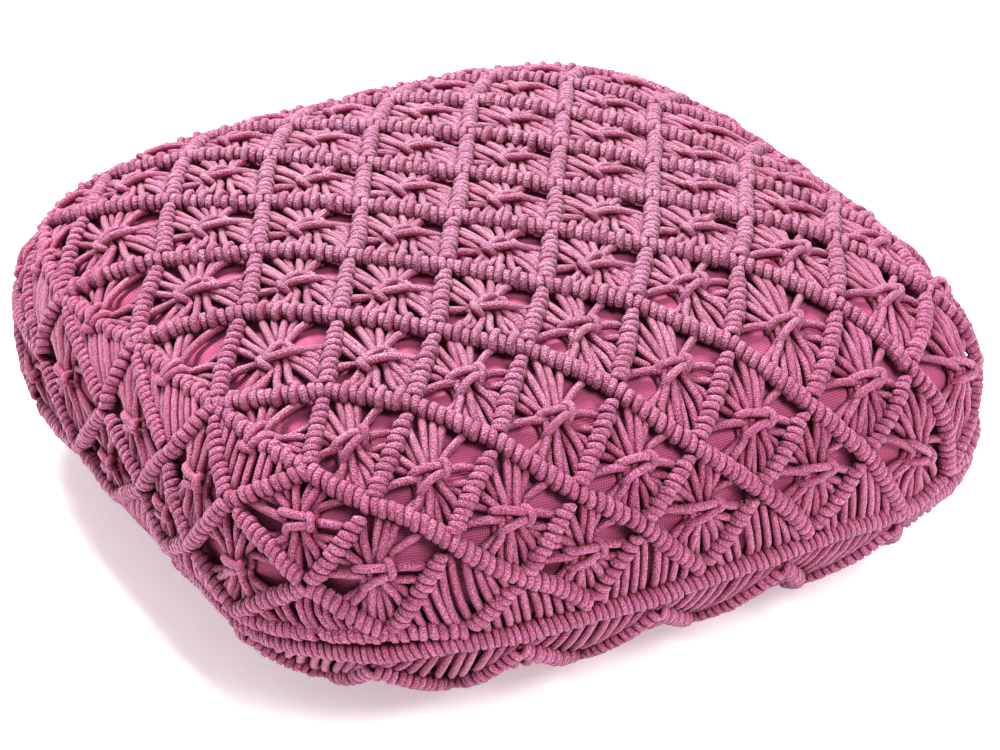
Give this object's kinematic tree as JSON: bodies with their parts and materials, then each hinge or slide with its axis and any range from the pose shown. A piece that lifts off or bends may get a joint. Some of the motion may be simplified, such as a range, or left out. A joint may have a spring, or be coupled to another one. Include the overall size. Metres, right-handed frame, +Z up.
{
  "type": "macrame pouf",
  "caption": "Low square floor pouf: a crowned woven cushion inside a cover of knotted cotton cord, with diamonds, star knots and a thick bar above the hem.",
  "frame": {"origin": "middle of the underside, on the floor", "axes": "+Z up; the front wall, where the knotted strip comes down over the edge, faces -Y; a side panel faces -X and another +X"},
  "size_m": [0.5025, 0.5026, 0.203],
  "materials": {
    "casing_canvas": "close plain weave, matt",
    "cotton_cord": "soft knitted cord with a darker fleck, matt"
  },
  "bodies": {
    "root": {"casing": "casing_canvas", "macrame_strip": "cotton_cord", "macrame_side_left": "cotton_cord", "macrame_side_right": "cotton_cord", "macrame_base_band": "cotton_cord"}
  },
  "joints": []
}
